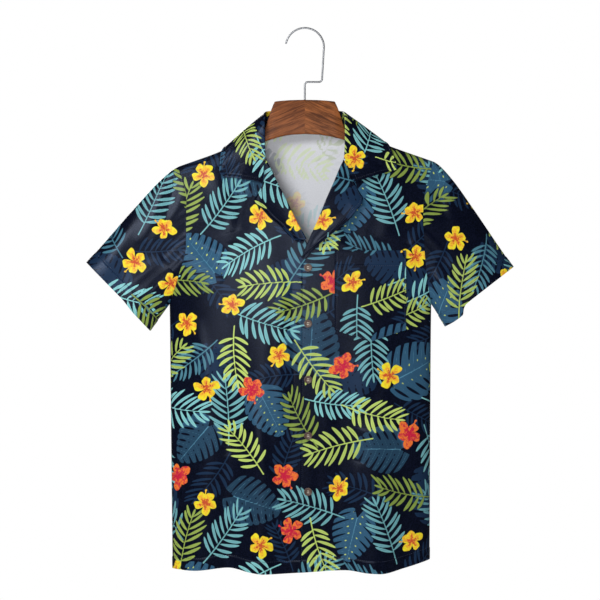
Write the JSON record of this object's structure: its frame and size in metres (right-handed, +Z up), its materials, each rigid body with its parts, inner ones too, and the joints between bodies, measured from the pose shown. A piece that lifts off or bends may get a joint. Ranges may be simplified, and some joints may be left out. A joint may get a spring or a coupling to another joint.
{
  "type": "hawaiian shirt on a wooden hanger",
  "caption": "Short-sleeved camp-collar hawaiian shirt with a tropical leaf print and a chest pocket, buttoned up on a slim wooden hanger with a steel hook.",
  "frame": {"origin": "highest point inside the bow of the hook, where a rail carries the hanger", "axes": "+Z up, -Y out of the front of the shirt, +X towards the wearer's left"},
  "size_m": [0.692, 0.0947, 0.8844],
  "materials": {
    "printed_viscose": "soft woven cloth with a faint sheen, navy ground with a printed leaf pattern",
    "walnut": "satin varnish",
    "chromed_steel": "bright plated wire",
    "coconut_shell": "satin, dark brown"
  },
  "bodies": {
    "root": {"back": "printed_viscose", "front_right": "printed_viscose", "front_left": "printed_viscose", "sleeve_right": "printed_viscose", "sleeve_left": "printed_viscose", "collar": "printed_viscose", "lapel_right": "printed_viscose", "lapel_left": "printed_viscose", "pocket": "printed_viscose", "button_1": "coconut_shell", "button_2": "coconut_shell", "button_3": "coconut_shell", "button_4": "coconut_shell", "button_5": "coconut_shell", "hanger_half_right": "walnut", "hanger_half_left": "walnut", "hook": "chromed_steel"}
  },
  "joints": []
}
